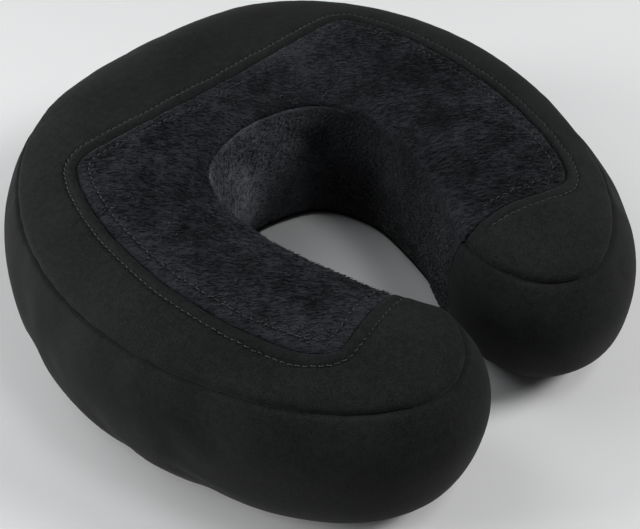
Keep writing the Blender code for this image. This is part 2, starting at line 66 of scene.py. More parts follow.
# Right half of the top seam, from the rear round the arm, the nose and the mouth to the rear of
# the face hole, in mm: x, y, how far the base stands out, how far the wall bulges.
outline = [
    (0, rearArc(0), 3, 8), (32, rearArc(32), 3, 8), (62, rearArc(62), 3, 8), (83, 124, 3, 9),
    (101, 109, 4, 10), (117.5, 87.5, 3, 11), (131.5, 59, 3, 11), (139, 27, 3, 11),
    (140, -5, 3, 11), (134.5, -39, 3, 13), (124, -69, 3, 15), (108, -100, 3, 16),
    (86, -125, 2, 16), (62, -139, -2, 17), (41.5, -140, -10, 19), (25.5, -130, -15, 20),
    (18, -113, -15, 16), (16.5, -99, -14, 12), (19, -87, -12, 9), (23, -77, -10, 7),
    (29.5, -65, -8, 6), (38, -48, -7, 5), (45.5, -24, -5, 4), (49, 0, -4, 4),
    (45, 22, -2, 4), (35, 36, -1, 4), (19, 44, 0, 4), (0, 47, 0, 4),
]
# The left arm's points that differ, by their place in the list above.
leftArm = {
    9: (134.5, -39, 2, 12), 10: (124, -69, 1, 13), 11: (108, -100, 1, 14),
    12: (86, -125, 1, 15), 13: (62, -139, -1, 15), 14: (41.5, -140, -8, 17),
    15: (26.5, -130, -12, 17), 16: (18.5, -113, -15, 13), 17: (23, -99.5, -15, 7),
    18: (29.3, -87, -13, 5), 19: (33, -78, -12, 4), 20: (37, -66, -10, 4),
    21: (42, -49, -8, 4), 22: (47, -25, -5, 4),
}

# Outer topstitching, right half from the rear middle to the mouth, in mm: x, y, corner radius.
topstitchLine = [
    (0, 79.5, 0), (86, 79.5, 8), (97, 73, 9), (104.5, 57, 14), (111, 30, 16), (113, 3, 16),
    (111.5, -29, 16), (106.5, -54, 16), (101, -74, 12), (92.5, -93, 9), (83.5, -103, 7),
    (75, -106.5, 6), (64, -104.5, 8), (50, -99.5, 10), (38, -96, 8), (28, -93.5, 0),
]
stripWidth = 6 * mm         # knit strip between the outer topstitching and the plush


def smoothLoop(points, samples):
    pts = np.array(points, float)
    before, after, far = np.roll(pts, 1, 0), np.roll(pts, -1, 0), np.roll(pts, -2, 0)
    rows = []
    for t in np.arange(samples) / samples:
        rows.append(0.5 * (2 * pts + (after - before) * t
                           + (2 * before - 5 * pts + 4 * after - far) * t * t
                           + (3 * pts - before - 3 * after + far) * t ** 3))
    return np.stack(rows, 1).reshape(-1, pts.shape[1])


def outward(loop):
    along = np.roll(loop, -1, 0) - np.roll(loop, 1, 0)
    side = np.stack([-along[:, 1], along[:, 0]], 1)
    return side / np.linalg.norm(side, axis=1)[:, None]


leftHalf = [leftArm.get(i, point) for i, point in enumerate(outline)]
leftHalf = [(-x, y, spread, bulge) for x, y, spread, bulge in leftHalf[-2:0:-1]]
stationTable = smoothLoop(outline + leftHalf, form["samples"])
seam = stationTable[:, :2] * mm
seamNormal = outward(seam)
baseSpread = stationTable[:, 2] * mm
wallBulge = stationTable[:, 3] * mm
stationCount = len(seam)
notch = form["notchPoint"] * form["samples"]
arcLength = np.concatenate([[0], np.cumsum(np.linalg.norm(np.diff(seam, axis=0), axis=1))])


def wallPush(height):
    t = (height - form["baseZ"]) / (form["seamZ"] - form["baseZ"])
    return baseSpread * (1 - t) + wallBulge * (1 - abs(2 * t - 1) ** form["wallPower"])


def wall(height, inset=0.0):
    # cover's outer wall at one height, moved inwards
    return seam + seamNormal * (wallPush(height) - inset)[:, None]


def nearestOnPath(points, path, closed):
    # distance to a path, with the index of the nearest piece of it
    a = path if closed else path[:-1]
    b = np.roll(path, -1, 0) if closed else path[1:]
    ab = b - a
    length = np.maximum((ab ** 2).sum(1), 1e-15)
    distance, index = [], []
    for part in np.array_split(points, max(1, len(points) // 3000)):
        rel = part[:, None, :] - a[None]
        t = np.clip((rel * ab).sum(2) / length, 0, 1)
        away = ((rel - t[..., None] * ab) ** 2).sum(2)
        index.append(away.argmin(1))
        distance.append(np.sqrt(away.min(1)))
    return np.concatenate(distance), np.concatenate(index)


def isInside(points, loop):
    a, b = loop, np.roll(loop, -1, 0)
    rise = np.where(b[:, 1] == a[:, 1], 1e-12, b[:, 1] - a[:, 1])
    result = []
    for part in np.array_split(points, max(1, len(points) // 3000)):
        x, y = part[:, :1], part[:, 1:]
        crosses = (a[:, 1] > y) != (b[:, 1] > y)
        at = (b[:, 0] - a[:, 0]) * (y - a[:, 1]) / rise + a[:, 0]
        result.append((crosses & (x < at)).sum(1) % 2 == 1)
    return np.concatenate(result)


def roundedPath(points, steps=8):
    out = [np.array(points[0][:2])]
    for before, corner, after in zip(points, points[1:], points[2:]):
        here = np.array(corner[:2])
        toBefore, toAfter = np.array(before[:2]) - here, np.array(after[:2]) - here
        lengths = [np.linalg.norm(toBefore), np.linalg.norm(toAfter)]
        reach = min(corner[2], 0.48 * lengths[0], 0.48 * lengths[1])
        start, end = here + toBefore / lengths[0] * reach, here + toAfter / lengths[1] * reach
        for t in np.linspace(0, 1, steps):
            out.append((1 - t) ** 2 * start + 2 * t * (1 - t) * here + t * t * end)
    out.append(np.array(points[-1][:2]))
    return np.array(out) * mm


def resampled(path, spacing):
    steps = np.linalg.norm(np.diff(path, axis=0), axis=1)
    along = np.concatenate([[0], np.cumsum(steps)])
    count = max(2, int(round(along[-1] / spacing)) + 1)
    at = np.linspace(0, along[-1], count)
    return np.column_stack([np.interp(at, along, path[:, k]) for k in range(path.shape[1])])


def movedIn(path, amount):
    # moves an open path to its left
    along = np.gradient(path, axis=0)
    along /= np.linalg.norm(along, axis=1)[:, None]
    return path + np.stack([-along[:, 1], along[:, 0]], 1) * amount


halfLine = resampled(roundedPath(topstitchLine), 1.7 * mm)


def stripPath(amount):
    # whole line from the right mouth round the rear to the left mouth, moved inwards
    right = movedIn(halfLine[::-1], amount)
    right[-1, 0] = 0.0
    return np.vstack([right, right[:-1][::-1] * (-1, 1)])


faceEdge = stripPath(stripWidth)
bandStations = [i % stationCount for i in range(-notch, notch + 1)]
innerStations = list(range(notch, stationCount - notch + 1))
faceLoop = np.vstack([seam[innerStations], faceEdge[::-1]])
borderLoop = np.vstack([seam[bandStations], faceEdge])

# Relief of the top: grooves at the seams, the raised strip and the pile's own thickness.
relief = {
    "seamDepth": 1.5 * mm,
    "seamWidth": 1.0 * mm,
    "notchDepth": 3.2 * mm,
    "softDepth": 0.7 * mm,
    "stripRise": 1.1 * mm,
    "edgeDip": 0.9 * mm,
    "outerDip": 0.6 * mm,
    "innerDip": 0.7 * mm,
    "pileRise": 0.5 * mm,
    "pucker": 0.22 * mm,
    "notchReach": 6 * mm,   # the deep fold, and the soft stretch beside it
    "softFrom": 20 * mm,
    "softReach": 11 * mm,
    "rowWidth": 0.9 * mm,
    "share": 0.6,           # part of a groove's depth that goes down, and part that goes in
}


def ripple(s, seed):
    # slow wave along a seam, made of a few lengths that don't repeat together
    return sum(math.cos(seed + k) * np.sin(s / (length * mm) * 2 * math.pi + seed * k)
               for k, length in enumerate((9.3, 13.7, 21.1, 33.0))) / 2


def seamGroove(station, away):
    # depth of the groove at the top seam: deep at the notch, soft beside it, then even
    fromNotch = np.minimum(abs(arcLength[station] - arcLength[notch]),
                           abs(arcLength[station] - arcLength[stationCount - notch - 1]))
    onBand = (station <= notch) | (station >= stationCount - notch)
    near = np.exp(-(fromNotch / relief["notchReach"]) ** 2)
    beside = np.exp(-((fromNotch - relief["softFrom"]) / relief["softReach"]) ** 2)
    depth = relief["seamDepth"] + near * (relief["notchDepth"] - relief["seamDepth"])
    depth = depth - beside * (relief["seamDepth"] - relief["softDepth"])
    depth = np.where(onBand, depth, relief["seamDepth"] * 0.6)
    return depth * np.exp(-(away / relief["seamWidth"]) ** 2)


def domeHeight(points):
    share = np.minimum(nearestOnPath(points, seam, True)[0], form["crownReach"])
    share = 1 - share / form["crownReach"]
    return form["seamZ"] + form["crown"] * (1 - share ** 2) ** form["crownPower"]


def topPoints(points):
    # plan points lifted onto the domed top, with its seams and strip
    d, station = nearestOnPath(points, seam, True)
    z = domeHeight(points)
    s, piece = nearestOnPath(points, faceEdge, False)
    plush = isInside(points, faceLoop)
    along = arcLength[station]
    onStrip = np.clip(s / stripWidth, 0, 1)
    atEdge = np.exp(-(s / relief["rowWidth"]) ** 2)
    atRow = np.exp(-((s - stripWidth) / relief["rowWidth"]) ** 2)
    clearOfSeam = np.clip(d / (4 * mm), 0, 1)
    knitLift = relief["stripRise"] * np.sin(math.pi * onStrip) ** 0.8 - relief["outerDip"] * atRow
    plushLift = relief["pileRise"] * (1 - np.exp(-s / (1.6 * mm))) - relief["innerDip"] * atRow
    z = z + np.where(plush, plushLift, knitLift) * clearOfSeam - relief["edgeDip"] * atEdge
    z = z + relief["pucker"] * ripple(piece * 1.7 * mm, 5.0) * np.exp(-s / (5 * mm)) * clearOfSeam
    groove = seamGroove(station, d)
    pucker = relief["pucker"] * ripple(along, 2.0) * np.exp(-d / (7 * mm))
    sunk = relief["share"] * groove
    plan = points + seamNormal[station] * (pucker - sunk)[:, None]
    return np.column_stack([plan, z - sunk])


def wallPoints(stations, heights, trim=0.0):
    # grid of wall points, rows of rising height
    rows = []
    index = np.array(stations)
    for z in heights:
        row = wall(z)[index]
        fromSeam = form["seamZ"] - z
        sunk = relief["share"] * seamGroove(index, fromSeam)
        pucker = relief["pucker"] * ripple(arcLength[index], 2.0) * math.exp(-fromSeam / (7 * mm))
        hem = 1.5 * mm * math.exp(-((z - 4.4 * mm) / (0.8 * mm)) ** 2)
        row = row + seamNormal[index] * (pucker - sunk - hem)[:, None]
        for end, inner in ((0, 1), (-1, -2)):
            step = row[inner] - row[end]
            row[end] = row[end] + step / np.linalg.norm(step) * trim
        rows.append(np.column_stack([row, z - sunk * (fromSeam < 6 * mm)]))
    return np.array(rows)


def filled(loop, extra, spacing, clear):
    # triangles that fill a closed loop, with extra points near its edge and a grid inside
    low, high = loop.min(0), loop.max(0)
    rows = []
    for j, y in enumerate(np.arange(low[1], high[1], spacing * 0.87)):
        shift = spacing / 2 if j % 2 else 0.0
        rows += [(x, y) for x in np.arange(low[0] + shift, high[0], spacing)]
    grid = np.array(rows)
    grid = grid[isInside(grid, loop)]
    grid = grid[nearestOnPath(grid, loop, True)[0] > clear]
    points = [loop]
    for ring, least in extra:
        ring = ring[isInside(ring, loop)]
        points.append(ring[nearestOnPath(ring, loop, True)[0] > least])
    points = np.vstack(points + [grid])
    edges = [(i, (i + 1) % len(loop)) for i in range(len(loop))]
    result = delaunay_2d_cdt([Vector(p) for p in points], edges, [], 1, 1e-7)
    used = [ids[0] for ids in result[3]]
    faces = [[used[i] for i in face] for face in result[2]]
    return points, faces


def deselectAll():
    for obj in bpy.context.selected_objects:
        obj.select_set(False)


def meshObject(name, verts, faces, uv=None):
    mesh = bpy.data.meshes.new(name)
    mesh.from_pydata([tuple(v) for v in verts], [], [tuple(f) for f in faces])
    if uv is not None:
        layer = mesh.uv_layers.new(name="cloth")
        index = np.zeros(len(mesh.loops), np.int32)
        mesh.loops.foreach_get("vertex_index", index)
        layer.data.foreach_set("uv", np.asarray(uv, np.float32)[index].ravel())
    mesh.shade_smooth()
    obj = bpy.data.objects.new(name, mesh)
    bpy.context.scene.collection.objects.link(obj)
    return obj


def applyModifier(obj, kind, **settings):
    modifier = obj.modifiers.new(kind.lower(), kind)
    for key, value in settings.items():
        setattr(modifier, key, value)
    deselectAll()
    obj.select_set(True)
    bpy.context.view_layer.objects.active = obj
    bpy.ops.object.modifier_apply(modifier=modifier.name)


def trianglesOf(obj):
    obj.data.calc_loop_triangles()
    return len(obj.data.loop_triangles)


# Cover under pressure: the foam swells it between seams that hold.
swell = {
    "spacing": 5.5 * mm,
    "slack": 1.0 * mm,      # how much smaller it starts
    "pressure": 4.0,
    "frames": 20,
    "quality": 6,
    "mass": 0.25,
    "stretchStiffness": 18,
    "shearStiffness": 8,
    "bendStiffness": 0.6,
    "cap": 0.8 * mm,        # the most that any point may move
    "extraCloth": -0.012,   # a little more cloth than the foam needs
    "sinkWithin": 8 * mm,   # how far from the seam the slack is reached
    "rowGrip": 0.5,         # how firmly the topstitching holds the top
    "rowGripWidth": 3 * mm,
    "rings": 17,
    "every": 4,             # stations skipped along the seam
}

# Where the zip is: nothing moves here, and the hold fades out round it.
zipArea = {
    "halfWidth": 82 * mm,
    "sideFade": 12 * mm,
    "fromY": 95 * mm,
    "frontFade": 15 * mm,
    "topZ": 44 * mm,
    "topFade": 10 * mm,
}


def zipRegion(points):
    # 1 at the zip, fading to 0 round it
    x = np.clip((zipArea["halfWidth"] - abs(points[:, 0])) / zipArea["sideFade"], 0, 1)
    y = np.clip((points[:, 1] - zipArea["fromY"]) / zipArea["frontFade"], 0, 1)
    z = np.clip((zipArea["topZ"] - points[:, 2]) / zipArea["topFade"], 0, 1)
    return x * y * z


def envelope():
    # closed shell of the whole cover, with how firmly each point is held
    index = np.arange(0, stationCount, swell["every"])
    heights = np.linspace(form["baseZ"], form["seamZ"], swell["rings"])
    verts, held = [], []
    for k, z in enumerate(heights):
        ends = k == 0 or k == len(heights) - 1
        row = wall(z, 0.0 if ends else swell["slack"])[index]
        verts.append(np.column_stack([row, np.full(len(row), z)]))
        held.append(np.full(len(row), 1.0 if ends else 0.0))
    n, faces = len(index), []
    for r in range(len(heights) - 1):
        for i in range(n):
            j = (i + 1) % n
            faces.append([r * n + i, (r + 1) * n + i, (r + 1) * n + j, r * n + j])
    for top in (True, False):
        loop = verts[-1][:, :2] if top else verts[0][:, :2]
        start = (len(heights) - 1) * n if top else 0
        offset = sum(len(v) for v in verts) - n
        points, fill = filled(loop, [], swell["spacing"], swell["spacing"] * 0.5)
        inner = points[n:]
        d = nearestOnPath(inner, seam, True)[0]
        sunk = swell["slack"] * np.minimum(1, d / swell["sinkWithin"])
        z = domeHeight(inner) - sunk if top else np.full(len(inner), form["baseZ"])
        s = nearestOnPath(inner, faceEdge, False)[0]
        grip = np.ones(len(inner))
        if top:
            grip = np.exp(-(s / swell["rowGripWidth"]) ** 2) * swell["rowGrip"]
        verts.append(np.column_stack([inner, z]))
        held.append(grip)
        number = [start + i if i < n else offset + i for i in range(len(points))]
        faces += [[number[i] for i in (f if top else reversed(f))] for f in fill]
    verts = np.vstack(verts)
    held = np.maximum(np.concatenate(held), zipRegion(verts))
    return verts, faces, held


def swollen():
    # rest points, faces and how far each point moved in the simulation
    verts, faces, held = envelope()
    obj = meshObject("coverSwell", verts, faces)
    group = obj.vertex_groups.new(name="held")
    for i, weight in enumerate(held):
        group.add([i], float(weight), "REPLACE")
    modifier = obj.modifiers.new("cloth", "CLOTH")
    cloth = modifier.settings
    cloth.quality = swell["quality"]
    cloth.mass = swell["mass"]
    cloth.tension_stiffness = cloth.compression_stiffness = swell["stretchStiffness"]
    cloth.shear_stiffness = swell["shearStiffness"]
    cloth.bending_stiffness = swell["bendStiffness"]
    cloth.use_pressure = True
    cloth.uniform_pressure_force = swell["pressure"]
    cloth.vertex_group_mass = "held"
    cloth.pin_stiffness = 1.0
    cloth.shrink_min = swell["extraCloth"]
    cloth.effector_weights.gravity = 0
    modifier.point_cache.frame_start = 1
    modifier.point_cache.frame_end = swell["frames"]
    scene = bpy.context.scene
    for number in range(1, swell["frames"] + 1):
        scene.frame_set(number)
    deselectAll()
    obj.select_set(True)
    bpy.context.view_layer.objects.active = obj
    bpy.ops.object.modifier_apply(modifier=modifier.name)
    moved = np.array([v.co for v in obj.data.vertices]) - verts
    scene.frame_set(1)
    bpy.data.objects.remove(obj, do_unlink=True)
    size = np.linalg.norm(moved, axis=1)
    print("cover swelled, mean", round(size.mean() / mm, 2), "mm, most", round(size.max() / mm, 2))
    moved *= np.minimum(1, swell["cap"] / np.maximum(size, 1e-9))[:, None]
    return verts, faces, moved


swellRest, swellFaces, swellMove = swollen()
swellTree = BVHTree.FromPolygons([Vector(v) for v in swellRest], swellFaces)
print("cover simulation ready:", len(swellRest), "points")


def settle(points, faces, passes=6):
    # moves points with the swollen cover, then evens the movement over neighbours
    move = np.zeros_like(points)
    for i, p in enumerate(points):
        found = swellTree.find_nearest(Vector(p))
        corners = swellFaces[found[2]]
        weights = poly_3d_calc([Vector(swellRest[c]) for c in corners], found[0])
        move[i] = sum(w * swellMove[c] for w, c in zip(weights, corners))
    pairs = np.array([(f[k], f[(k + 1) % len(f)]) for f in faces for k in range(len(f))])
    a, b = np.concatenate([pairs[:, 0], pairs[:, 1]]), np.concatenate([pairs[:, 1], pairs[:, 0]])
    count = np.maximum(np.bincount(a, minlength=len(points)), 1)[:, None]
    for _ in range(passes):
        mean = np.column_stack([np.bincount(a, weights=move[b, k], minlength=len(points))
                                for k in range(3)]) / count
        move = 0.5 * move + 0.5 * mean
    return points + move


class Socket:
    # a node's output that takes part in maths
    def __init__(self, tree, out):
        self.tree, self.out = tree, out

    def node(self, kind, settings=None, inputs=None, output=0):
        made = self.tree.nodes.new(kind)
        for key, value in (settings or {}).items():
            setattr(made, key, value)
        for key, value in (inputs or {}).items():
            if isinstance(value, Socket):
                self.tree.links.new(value.out, made.inputs[key])
            else:
                made.inputs[key].default_value = value
        return Socket(self.tree, made.outputs[output])

    def maths(self, operation, other=0.0, swapped=False):
        pair = (other, self) if swapped else (self, other)
        return self.node("ShaderNodeMath", {"operation": operation}, dict(enumerate(pair)))

    def __add__(self, other):
        return self.maths("ADD", other)

    def __sub__(self, other):
        return self.maths("SUBTRACT", other)

    def __rsub__(self, other):
        return self.maths("SUBTRACT", other, True)

    def __mul__(self, other):
        return self.maths("MULTIPLY", other)

    __radd__, __rmul__ = __add__, __mul__


def startMaterial(name, constants):
    # new material with its constant values set, and a socket to start its nodes from
    made = bpy.data.materials.new(name)
    made.use_nodes = True
    tree = made.node_tree
    shader = tree.nodes["Principled BSDF"]
    for key, value in constants.items():
        shader.inputs[key].default_value = value
    place = tree.nodes.new("ShaderNodeTexCoord")
    return made, shader, Socket(tree, place.outputs["Object"])


def connect(material, shader, **links):
    for key, value in links.items():
        target = {"colour": "Base Color", "roughness": "Roughness", "normal": "Normal"}[key]
        material.node_tree.links.new(value.out, shader.inputs[target])
    return material


def noise(place, scale, detail=3.0, distortion=0.0):
    return place.node("ShaderNodeTexNoise", {}, {
        "Vector": place, "Scale": scale, "Detail": detail, "Distortion": distortion})


def mixed(factor, a, b):
    return factor.node("ShaderNodeMix", {"data_type": "RGBA"},
                       {0: factor, 6: (*a, 1), 7: (*b, 1)}, 2)


def bumped(height, distance, strength=1.0):
    return height.node("ShaderNodeBump", {}, {
        "Height": height, "Distance": distance, "Strength": strength})


def coordinate(start, axis):
    return start.node("ShaderNodeSeparateXYZ", {}, {0: start}, "XYZ".index(axis))


def clothUv(start):
    return start.node("ShaderNodeUVMap", {"uv_map": "cloth"})


def stretched(start, scale, turn=0.0):
    # turned and then stretched, so that a pattern runs along one direction
    turned = start.node("ShaderNodeMapping", {"vector_type": "POINT"},
                        {"Vector": start, "Rotation": (0, 0, turn)})
    return start.node("ShaderNodeMapping", {"vector_type": "POINT"},
                      {"Vector": turned, "Scale": scale})


knitLook = {
    "dark": (0.0050, 0.0053, 0.0054),
    "light": (0.0140, 0.0146, 0.0149),
    "wale": 0.95 * mm,
    "course": 0.80 * mm,
    "relief": 0.05 * mm,
}


def knitMaterial():
    made, shader, start = startMaterial("knitCloth", {
        "Specular IOR Level": 0.08, "Sheen Weight": 0.03, "Sheen Roughness": 0.4})
    uv = clothUv(start)
    across = uv.node("ShaderNodeSeparateXYZ", {}, {0: uv}, 0)
    along = uv.node("ShaderNodeSeparateXYZ", {}, {0: uv}, 1)
    drift = noise(start, 90, 2) * 0.9
    column = (across * (math.pi / knitLook["wale"]) + drift).maths("SINE").maths("ABSOLUTE")
    row = (along * (2 * math.pi / knitLook["course"]) + column * 1.6).maths("SINE")
    loops = column * (row * 0.35 + 0.65)
    fuzz = noise(start, 1400, 2)
    patches = noise(start, 26, 3)
    fine = noise(start, 320, 4)
    factor = ((patches - 0.5) * 1.1 + (fine - 0.5) * 1.2 + (fuzz - 0.5) * 2.2
              + loops * 0.12 + 0.35)
    colour = mixed(factor, knitLook["dark"], knitLook["light"])
    height = loops * 0.8 + fuzz * 0.5
    return connect(made, shader, colour=colour, roughness=fine * 0.2 + 0.72,
                   normal=bumped(height, knitLook["relief"]))


plushLook = {
    "dark": (0.0037, 0.0040, 0.0052),
    "light": (0.0200, 0.0212, 0.0254),
    # pale end for the hole's wall: part nap, part painted light
    "wallNapAndPaintedLight": (0.0860, 0.0900, 0.1010),
    "streak": 900.0,
    "relief": 0.6 * mm,
}


def plushMaterial(name, onWall):
    # on the hole's wall the colour turns paler towards -X and +Y: partly the nap's own tone, partly
    # painted light where the lamps reach into the hole
    made, shader, start = startMaterial(name, {
        "Specular IOR Level": 0.08, "Sheen Weight": 0.10, "Sheen Roughness": 0.3})
    turn = math.radians(-24) if onWall else math.radians(42.85)
    place = clothUv(start)
    bend = noise(start, 45, 2)
    swirl = place.node("ShaderNodeVectorMath", {"operation": "MULTIPLY_ADD"}, {
        0: bend.node("ShaderNodeTexNoise", {}, {"Vector": place, "Scale": 60.0, "Detail": 2.0},
                     1), 1: (0.003, 0.003, 0.0), 2: place})
    long = stretched(swirl, (0.26, 1.0, 1.0), turn)
    streaks = noise(long, plushLook["streak"], 4, 0.5)
    hairs = noise(long, plushLook["streak"] * 2.2, 2)
    patches = noise(start, 60, 4, 0.8)
    broad = noise(start, 17, 2)
    factor = ((patches - 0.5) * 1.9 + (streaks - 0.5) * 2.6 + (hairs - 0.5) * 1.3
              + (broad - 0.5) * 2.6 + 0.50)
    light = plushLook["light"]
    if onWall:
        # painted light mixed with the nap's tone: paler towards -X and +Y, darker towards +X,
        # standing in for how the lamps light the hole's walls
        lean = coordinate(start, "X") * -14.0 + coordinate(start, "Y") * 9.0 + 0.5
        napAndLightTone = lean.node("ShaderNodeClamp", {}, {0: lean})
        factor = factor * (napAndLightTone * 0.40 + 0.12) + napAndLightTone * 0.42
        light = plushLook["wallNapAndPaintedLight"]
    colour = mixed(factor, plushLook["dark"], light)
    height = streaks * 0.8 + hairs * 0.35
    return connect(made, shader, colour=colour, roughness=streaks * 0.25 + 0.6,
                   normal=bumped(height, plushLook["relief"]))


def plainMaterial(name, dark, light, scale, rough, relief, constants):
    made, shader, start = startMaterial(name, constants)
    grain = noise(start, scale, 4)
    patches = noise(start, scale * 0.08, 2)
    colour = mixed(grain * 0.7 + (patches - 0.5) * 0.8 + 0.15, dark, light)
    return connect(made, shader, colour=colour, roughness=grain * 0.2 + (rough - 0.1),
                   normal=bumped(grain, relief))


knitCloth = knitMaterial()
plushTop = plushMaterial("plushTop", False)
plushWall = plushMaterial("plushWall", True)
threadFinish = plainMaterial("blackThread", (0.006, 0.006, 0.006), (0.030, 0.030, 0.031), 2500, 0.45,
                             0.05 * mm, {"Specular IOR Level": 0.35})


zipLook = {
    "tapeDark": (0.0060, 0.0062, 0.0064),
    "tapeLight": (0.0240, 0.0245, 0.0255),
    "rib": 1.1 * mm,
    "pick": 0.45 * mm,
    "tapeRelief": 0.12 * mm,
    "coilDark": (0.012, 0.012, 0.013),
    "coilLight": (0.045, 0.045, 0.047),
    "metalDark": (0.050, 0.051, 0.054),
    "metalLight": (0.170, 0.172, 0.180),
    "metalRough": 0.34,
    "bevel": 0.25 * mm,
}


def tapeMaterial():
    # herringbone weave: ribs across the tape whose threads lean one way and then the other
    made, shader, start = startMaterial("zipTapeWeave", {
        "Specular IOR Level": 0.25, "Sheen Weight": 0.05})
    along, across = coordinate(start, "X"), coordinate(start, "Z")
    zigzag = (across * (2 * math.pi / zipLook["rib"])).maths("SINE").maths("ARCSINE") * 0.9
    threads = (along * (2 * math.pi / zipLook["pick"]) + zigzag).maths("SINE") * 0.5 + 0.5
    ribs = (across * (math.pi / zipLook["rib"])).maths("SINE").maths("ABSOLUTE")
    wear = noise(start, 240, 4)
    factor = threads * 0.45 + ribs * 0.2 + (wear - 0.5) * 0.8 + 0.1
    return connect(made, shader, colour=mixed(factor, zipLook["tapeDark"], zipLook["tapeLight"]),
                   roughness=wear * 0.25 + 0.55,
                   normal=bumped(threads * 0.6 + ribs * 0.4, zipLook["tapeRelief"]))


def metalMaterial():
    # blackened die-cast metal, paler and rougher where it has rubbed
    made, shader, start = startMaterial("zipMetal", {"Metallic": 1.0, "Coat Roughness": 0.25})
    cast = noise(start, 900, 4)
    rubbed = noise(stretched(start, (1.0, 1.0, 0.2)), 1600, 3)
    blotches = noise(start, 180, 3)
    factor = (blotches - 0.42) * 1.4 + (rubbed - 0.5) * 0.7 + 0.25
    return connect(made, shader,
                   colour=mixed(factor, zipLook["metalDark"], zipLook["metalLight"]),
                   roughness=cast * 0.22 + (zipLook["metalRough"] - 0.08),
                   normal=bumped(cast * 0.5 + rubbed * 0.5, 0.03 * mm))


loopLook = {
    "dark": (0.0050, 0.0050, 0.0055),
    "light": (0.0380, 0.0380, 0.0400),
    "loop": 900.0,
    "relief": 0.45 * mm,
}


def loopMaterial():
    # hook-and-loop tape: a crowd of small loops on a knitted ground
    made, shader, start = startMaterial("loopTape", {
        "Specular IOR Level": 0.15, "Sheen Weight": 0.12})
    loops = start.node("ShaderNodeTexVoronoi", {"feature": "F1"},
                       {"Vector": start, "Scale": loopLook["loop"]})
    strands = noise(start, 2600, 3, 1.5)
    flattened = noise(start, 60, 3)
    crown = 1.0 - loops
    factor = crown * 0.6 + (strands - 0.5) * 0.9 + (flattened - 0.5) * 0.8 - 0.1
    return connect(made, shader, colour=mixed(factor, loopLook["dark"], loopLook["light"]),
                   roughness=flattened * 0.25 + 0.6,
                   normal=bumped(crown * 0.7 + strands * 0.4, loopLook["relief"]))


labelLook = {
    "dark": (0.36, 0.35, 0.33),
    "light": (0.55, 0.54, 0.51),
    "thread": 0.35 * mm,
}


def labelMaterial():
    # blank satin ribbon with fine threads along its length
    made, shader, start = startMaterial("labelSatin", {
        "Specular IOR Level": 0.45, "Sheen Weight": 0.1})
    threads = (coordinate(start, "Z") * (2 * math.pi / labelLook["thread"])
               + noise(start, 120, 2) * 2.0).maths("SINE") * 0.5 + 0.5
    creases = noise(start, 220, 3, 0.6)
    return connect(made, shader, colour=mixed(threads * 0.35 + creases * 0.6,
                                              labelLook["dark"], labelLook["light"]),
                   roughness=creases * 0.2 + 0.32,
                   normal=bumped(threads * 0.3 + creases, 0.12 * mm))


def coverNodes(material, *names):
    for name in names:
        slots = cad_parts[name].data.materials
        slots.clear()
        slots.append(material)


nylonCoil = plainMaterial("zipCoil", zipLook["coilDark"], zipLook["coilLight"], 1300, 0.36,
                          0.05 * mm, {"Specular IOR Level": 0.45})
zipMetal = metalMaterial()
coverNodes(tapeMaterial(), "zip_tape_upper", "zip_tape_lower")
coverNodes(nylonCoil, "zip_teeth_upper", "zip_teeth_lower")
coverNodes(zipMetal, "zip_top_stop_upper", "zip_top_stop_lower", "zip_bottom_stop", "zip_slider",
           "zip_pull_tab")
for name in ("zip_slider", "zip_pull_tab"):
    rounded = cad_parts[name].modifiers.new("rounded", "BEVEL")
    rounded.width, rounded.segments = zipLook["bevel"], 2
    rounded.limit_method, rounded.angle_limit = "ANGLE", math.radians(35)
coverNodes(loopMaterial(), "loop_strip_left", "loop_strip_right", "loop_strip_rear")
coverNodes(labelMaterial(), "care_label")
print("materials ready")


def finishPiece(obj, material, nodes=()):
    obj.data.materials.clear()
    obj.data.materials.append(material)
    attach(obj, body)
    if nodes:
        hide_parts(*nodes)
    print(obj.name, "made,", trianglesOf(obj), "triangles")
    return obj


def thicken(obj, thickness):
    applyModifier(obj, "SOLIDIFY", thickness=thickness, offset=-1.0, use_rim=True,
                  use_even_offset=False)


# Top panels: knit border and plush face panel.
topPanels = {
    "borderSpacing": 2.6 * mm,
    "faceSpacing": 1.25 * mm,
    "cloth": 1.5 * mm,
}


def seamRings(distances):
    return [(seam - seamNormal * d, d * 0.7) for d in distances]


def edgeRings(distances):
    return [(stripPath(stripWidth + d), abs(d) * 0.7) for d in distances]


def makeTopPanel(name, loop, rings, spacing, clear, material, node):
    points, faces = filled(loop, rings, spacing, clear)
    verts = settle(topPoints(points), faces)
    obj = meshObject(name, verts, faces, points)
    thicken(obj, topPanels["cloth"])
    return finishPiece(obj, material, [node])


nearSeam = [d * mm for d in (0.5, 1.0, 1.7, 2.6, 4.0)]
stripSteps = [d * mm for d in (0.5, 1.0, 1.8, 3.0, 4.2, 5.0, 5.5, 6.0, 6.5, 7.0, 8.0, 9.5)]
topBorder = makeTopPanel(
    "coverTopBorder", borderLoop, seamRings(nearSeam) + edgeRings([-d for d in stripSteps]),
    topPanels["borderSpacing"], 5.0 * mm, knitCloth, "cover_top_border")
plushSteps = [d * mm for d in (0.5, 1.0, 1.8, 3.0, 4.2, 5.0, 5.5, 6.0, 6.5, 7.0, 8.0)]
facePanel = makeTopPanel(
    "coverFacePanel", faceLoop, seamRings(nearSeam) + edgeRings(plushSteps),
    topPanels["faceSpacing"], 4.0 * mm, plushTop, "cover_face_panel")

# Walls: knit side band round the outside with the zip's slot, plush wall in the face hole.
walls = {
    "cloth": 1.4 * mm,
    "slotLow": 18.8 * mm,
    "slotHigh": 29.2 * mm,
    "slotHalfWidth": 62 * mm,
    "hemDepth": 0.9 * mm,
    "rowStep": 2.6 * mm,
}


def rowHeights(breaks, step):
    rows = []
    for low, high in zip(breaks, breaks[1:]):
        count = max(1, int(round((high - low) / step)))
        rows += list(np.linspace(low, high, count + 1)[:-1])
    return rows + [breaks[-1]]


